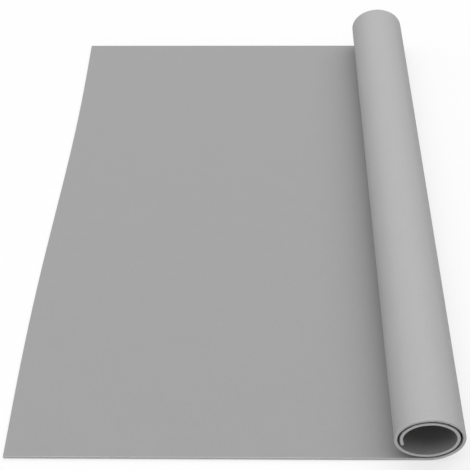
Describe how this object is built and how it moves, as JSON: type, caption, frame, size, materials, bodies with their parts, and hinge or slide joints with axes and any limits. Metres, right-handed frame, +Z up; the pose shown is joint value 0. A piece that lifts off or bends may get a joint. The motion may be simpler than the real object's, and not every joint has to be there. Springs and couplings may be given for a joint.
{
  "type": "silicone countertop mat",
  "caption": "Plain grey silicone countertop mat that lies flat, with one side rolled up into a loose two-layer scroll that unrolls until the whole sheet lies flat.",
  "frame": {"origin": "on the worktop, under the middle of the footprint of the mat with its scroll", "axes": "+Z up from the worktop, +Y along the scroll to its far end, +X from the plain side edge towards the scroll"},
  "size_m": [0.3072, 0.5, 0.0441],
  "materials": {
    "silicone": "matte moulded silicone, mid grey"
  },
  "bodies": {
    "flat_panel": {"flat_panel": "silicone"},
    "curl_strip_01": {"curl_strip_01": "silicone"},
    "curl_strip_02": {"curl_strip_02": "silicone"},
    "curl_strip_03": {"curl_strip_03": "silicone"},
    "curl_strip_04": {"curl_strip_04": "silicone"},
    "curl_strip_05": {"curl_strip_05": "silicone"},
    "curl_strip_06": {"curl_strip_06": "silicone"},
    "curl_strip_07": {"curl_strip_07": "silicone"},
    "curl_strip_08": {"curl_strip_08": "silicone"},
    "curl_strip_09": {"curl_strip_09": "silicone"},
    "curl_strip_10": {"curl_strip_10": "silicone"},
    "curl_strip_11": {"curl_strip_11": "silicone"},
    "curl_strip_12": {"curl_strip_12": "silicone"},
    "curl_strip_13": {"curl_strip_13": "silicone"},
    "curl_strip_14": {"curl_strip_14": "silicone"},
    "curl_strip_15": {"curl_strip_15": "silicone"},
    "curl_strip_16": {"curl_strip_16": "silicone"},
    "curl_strip_17": {"curl_strip_17": "silicone"},
    "curl_strip_18": {"curl_strip_18": "silicone"},
    "curl_strip_19": {"curl_strip_19": "silicone"},
    "free_edge_strip": {"free_edge_strip": "silicone"}
  },
  "joints": [
    {"name": "unroll", "type": "hinge", "parent": "flat_panel", "child": "curl_strip_01", "pos_m": [0.13584, 0, 0.0011], "axis": [0, 1, 0], "range_deg": [0, 32.2]},
    {"name": "flex_line_02", "type": "hinge", "parent": "curl_strip_01", "child": "curl_strip_02", "pos_m": [0.14763, 0, 0.00852], "axis": [0, 1, 0], "range_deg": [0, 32.2]},
    {"name": "flex_line_03", "type": "hinge", "parent": "curl_strip_02", "child": "curl_strip_03", "pos_m": [0.15255, 0, 0.01878], "axis": [0, 1, 0], "range_deg": [0, 32.2]},
    {"name": "flex_line_04", "type": "hinge", "parent": "curl_strip_03", "child": "curl_strip_04", "pos_m": [0.15134, 0, 0.02926], "axis": [0, 1, 0], "range_deg": [0, 32.2]},
    {"name": "flex_line_05", "type": "hinge", "parent": "curl_strip_04", "child": "curl_strip_05", "pos_m": [0.14393, 0, 0.03848], "axis": [0, 1, 0], "range_deg": [0, 32.2]},
    {"name": "flex_line_06", "type": "hinge", "parent": "curl_strip_05", "child": "curl_strip_06", "pos_m": [0.13056, 0, 0.04309], "axis": [0, 1, 0], "range_deg": [0, 32.2]},
    {"name": "flex_line_07", "type": "hinge", "parent": "curl_strip_06", "child": "curl_strip_07", "pos_m": [0.11667, 0, 0.03984], "axis": [0, 1, 0], "range_deg": [0, 32.2]},
    {"name": "flex_line_08", "type": "hinge", "parent": "curl_strip_07", "child": "curl_strip_08", "pos_m": [0.10845, 0, 0.03151], "axis": [0, 1, 0], "range_deg": [0, 32.2]},
    {"name": "flex_line_09", "type": "hinge", "parent": "curl_strip_08", "child": "curl_strip_09", "pos_m": [0.10635, 0, 0.02203], "axis": [0, 1, 0], "range_deg": [0, 32.2]},
    {"name": "flex_line_10", "type": "hinge", "parent": "curl_strip_09", "child": "curl_strip_10", "pos_m": [0.10966, 0, 0.01283], "axis": [0, 1, 0], "range_deg": [0, 32.2]},
    {"name": "flex_line_11", "type": "hinge", "parent": "curl_strip_10", "child": "curl_strip_11", "pos_m": [0.11889, 0, 0.00561], "axis": [0, 1, 0], "range_deg": [0, 32.2]},
    {"name": "flex_line_12", "type": "hinge", "parent": "curl_strip_11", "child": "curl_strip_12", "pos_m": [0.13238, 0, 0.00422], "axis": [0, 1, 0], "range_deg": [0, 32.2]},
    {"name": "flex_line_13", "type": "hinge", "parent": "curl_strip_12", "child": "curl_strip_13", "pos_m": [0.1434, 0, 0.00968], "axis": [0, 1, 0], "range_deg": [0, 32.2]},
    {"name": "flex_line_14", "type": "hinge", "parent": "curl_strip_13", "child": "curl_strip_14", "pos_m": [0.14842, 0, 0.01788], "axis": [0, 1, 0], "range_deg": [0, 32.2]},
    {"name": "flex_line_15", "type": "hinge", "parent": "curl_strip_14", "child": "curl_strip_15", "pos_m": [0.14831, 0, 0.02628], "axis": [0, 1, 0], "range_deg": [0, 32.2]},
    {"name": "flex_line_16", "type": "hinge", "parent": "curl_strip_15", "child": "curl_strip_16", "pos_m": [0.14324, 0, 0.03411], "axis": [0, 1, 0], "range_deg": [0, 32.2]},
    {"name": "flex_line_17", "type": "hinge", "parent": "curl_strip_16", "child": "curl_strip_17", "pos_m": [0.13268, 0, 0.039], "axis": [0, 1, 0], "range_deg": [0, 32.2]},
    {"name": "flex_line_18", "type": "hinge", "parent": "curl_strip_17", "child": "curl_strip_18", "pos_m": [0.1204, 0, 0.03742], "axis": [0, 1, 0], "range_deg": [0, 32.2]},
    {"name": "flex_line_19", "type": "hinge", "parent": "curl_strip_18", "child": "curl_strip_19", "pos_m": [0.11263, 0, 0.03101], "axis": [0, 1, 0], "range_deg": [0, 32.2]},
    {"name": "flex_line_20", "type": "hinge", "parent": "curl_strip_19", "child": "free_edge_strip", "pos_m": [0.11018, 0, 0.02361], "axis": [0, 1, 0], "range_deg": [0, 32.2]}
  ],
  "couplings": [
    {"joint": "flex_line_02", "follows": "unroll", "ratio": 1},
    {"joint": "flex_line_03", "follows": "unroll", "ratio": 1},
    {"joint": "flex_line_04", "follows": "unroll", "ratio": 1},
    {"joint": "flex_line_05", "follows": "unroll", "ratio": 1},
    {"joint": "flex_line_06", "follows": "unroll", "ratio": 1},
    {"joint": "flex_line_07", "follows": "unroll", "ratio": 1},
    {"joint": "flex_line_08", "follows": "unroll", "ratio": 1},
    {"joint": "flex_line_09", "follows": "unroll", "ratio": 1},
    {"joint": "flex_line_10", "follows": "unroll", "ratio": 1},
    {"joint": "flex_line_11", "follows": "unroll", "ratio": 1},
    {"joint": "flex_line_12", "follows": "unroll", "ratio": 1},
    {"joint": "flex_line_13", "follows": "unroll", "ratio": 1},
    {"joint": "flex_line_14", "follows": "unroll", "ratio": 1},
    {"joint": "flex_line_15", "follows": "unroll", "ratio": 1},
    {"joint": "flex_line_16", "follows": "unroll", "ratio": 1},
    {"joint": "flex_line_17", "follows": "unroll", "ratio": 1},
    {"joint": "flex_line_18", "follows": "unroll", "ratio": 1},
    {"joint": "flex_line_19", "follows": "unroll", "ratio": 1},
    {"joint": "flex_line_20", "follows": "unroll", "ratio": 1}
  ]
}
